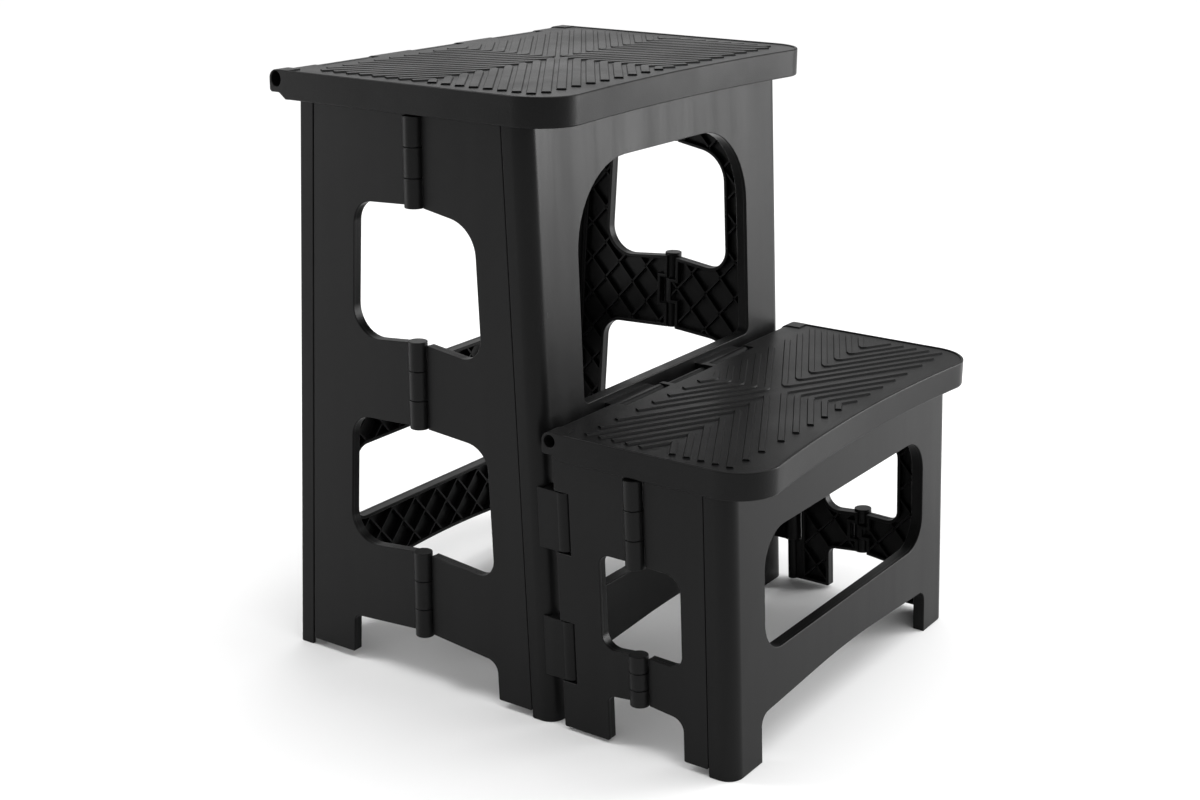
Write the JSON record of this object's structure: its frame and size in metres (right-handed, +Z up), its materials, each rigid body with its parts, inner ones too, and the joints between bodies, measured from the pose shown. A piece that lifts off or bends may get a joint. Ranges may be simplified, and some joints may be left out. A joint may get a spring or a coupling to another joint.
{
  "type": "folding step stool",
  "caption": "Folding plastic step stool with a tall rear step and a low front step, leaves hinged between upright panels and lift-up treads.",
  "frame": {"origin": "bottom centre of the bounding box, on the floor", "axes": "+X to the user's right when climbing, +Y to the rear tall step, -Y to the low front step, +Z up"},
  "size_m": [0.3528, 0.407, 0.45],
  "materials": {
    "panel_black": "satin moulded plastic",
    "leaf_black": "satin moulded plastic, ribbed inside",
    "tread_black": "satin moulded plastic with raised grip bars",
    "pin_steel": "plain steel rod"
  },
  "bodies": {
    "rear_frame": {"rear_panel": "panel_black", "upper_tread_rod": "pin_steel", "rear_corner_rod_left": "pin_steel", "rear_corner_rod_right": "pin_steel"},
    "upper_tread": {"upper_tread": "tread_black"},
    "rear_leaf_left": {"rear_leaf_left": "leaf_black", "side_hinge_left_pin_bottom": "pin_steel", "side_hinge_left_pin_middle": "pin_steel", "side_hinge_left_pin_top": "pin_steel"},
    "front_leaf_left": {"front_leaf_left": "leaf_black", "front_corner_rod_left": "pin_steel"},
    "front_frame": {"front_panel": "panel_black", "lower_tread_rod": "pin_steel", "bracket_rod_left": "pin_steel", "bracket_rod_right": "pin_steel"},
    "rear_leaf_right": {"rear_leaf_right": "leaf_black", "side_hinge_right_pin_bottom": "pin_steel", "side_hinge_right_pin_middle": "pin_steel", "side_hinge_right_pin_top": "pin_steel"},
    "front_leaf_right": {"front_leaf_right": "leaf_black", "front_corner_rod_right": "pin_steel"},
    "lower_tread": {"lower_tread": "tread_black"},
    "low_rear_leaf_left": {"low_rear_leaf_left": "leaf_black", "low_side_hinge_left_pin_bottom": "pin_steel", "low_side_hinge_left_pin_top": "pin_steel"},
    "low_front_leaf_left": {"low_front_leaf_left": "leaf_black", "low_corner_rod_left": "pin_steel"},
    "low_frame": {"low_front_panel": "panel_black"},
    "low_rear_leaf_right": {"low_rear_leaf_right": "leaf_black", "low_side_hinge_right_pin_bottom": "pin_steel", "low_side_hinge_right_pin_top": "pin_steel"},
    "low_front_leaf_right": {"low_front_leaf_right": "leaf_black", "low_corner_rod_right": "pin_steel"}
  },
  "joints": [
    {"name": "upper_fold", "type": "hinge", "parent": "rear_frame", "child": "rear_leaf_left", "pos_m": [-0.161, 0.18205, 0], "axis": [0, -0.0549, 0.9985], "range_deg": [0, 88]},
    {"name": "fold_middle_left", "type": "hinge", "parent": "rear_leaf_left", "child": "front_leaf_left", "pos_m": [-0.1694, 0.07505, 0], "axis": [0, 0, 1], "range_deg": [-176, 0]},
    {"name": "fold_front", "type": "hinge", "parent": "front_leaf_left", "child": "front_frame", "pos_m": [-0.161, -0.03195, 0], "axis": [0, 0.0549, 0.9985], "range_deg": [0, 88]},
    {"name": "fold_rear_right", "type": "hinge", "parent": "rear_frame", "child": "rear_leaf_right", "pos_m": [0.161, 0.18205, 0], "axis": [0, -0.0549, 0.9985], "range_deg": [-88, 0]},
    {"name": "fold_middle_right", "type": "hinge", "parent": "rear_leaf_right", "child": "front_leaf_right", "pos_m": [0.1694, 0.07505, 0], "axis": [0, 0, 1], "range_deg": [0, 176]},
    {"name": "upper_tread_lift", "type": "hinge", "parent": "rear_frame", "child": "upper_tread", "pos_m": [0, 0.19517, 0.4432], "axis": [-1, 0, 0], "range_deg": [0, 265]},
    {"name": "lower_tread_lift", "type": "hinge", "parent": "front_frame", "child": "lower_tread", "pos_m": [0, -0.0426, 0.2172], "axis": [-1, 0, 0], "range_deg": [0, 90]},
    {"name": "lower_fold", "type": "hinge", "parent": "front_frame", "child": "low_rear_leaf_left", "pos_m": [-0.161, -0.05705, 0], "axis": [0, 0.0549, 0.9985], "range_deg": [0, 88]},
    {"name": "low_fold_middle_left", "type": "hinge", "parent": "low_rear_leaf_left", "child": "low_front_leaf_left", "pos_m": [-0.1694, -0.119, 0], "axis": [0, 0.0524, 0.9986], "range_deg": [-176, 0]},
    {"name": "low_fold_front", "type": "hinge", "parent": "low_front_leaf_left", "child": "low_frame", "pos_m": [-0.161, -0.18095, 0], "axis": [0, 0.0499, 0.9988], "range_deg": [0, 88]},
    {"name": "low_fold_rear_right", "type": "hinge", "parent": "front_frame", "child": "low_rear_leaf_right", "pos_m": [0.161, -0.05705, 0], "axis": [0, 0.0549, 0.9985], "range_deg": [-88, 0]},
    {"name": "low_fold_middle_right", "type": "hinge", "parent": "low_rear_leaf_right", "child": "low_front_leaf_right", "pos_m": [0.1694, -0.119, 0], "axis": [0, 0.0524, 0.9986], "range_deg": [0, 176]}
  ],
  "couplings": [
    {"joint": "fold_middle_left", "follows": "upper_fold", "ratio": -2},
    {"joint": "fold_front", "follows": "upper_fold", "ratio": 1},
    {"joint": "fold_rear_right", "follows": "upper_fold", "ratio": -1},
    {"joint": "fold_middle_right", "follows": "upper_fold", "ratio": 2},
    {"joint": "low_fold_middle_left", "follows": "lower_fold", "ratio": -2},
    {"joint": "low_fold_front", "follows": "lower_fold", "ratio": 1},
    {"joint": "low_fold_rear_right", "follows": "lower_fold", "ratio": -1},
    {"joint": "low_fold_middle_right", "follows": "lower_fold", "ratio": 2}
  ]
}
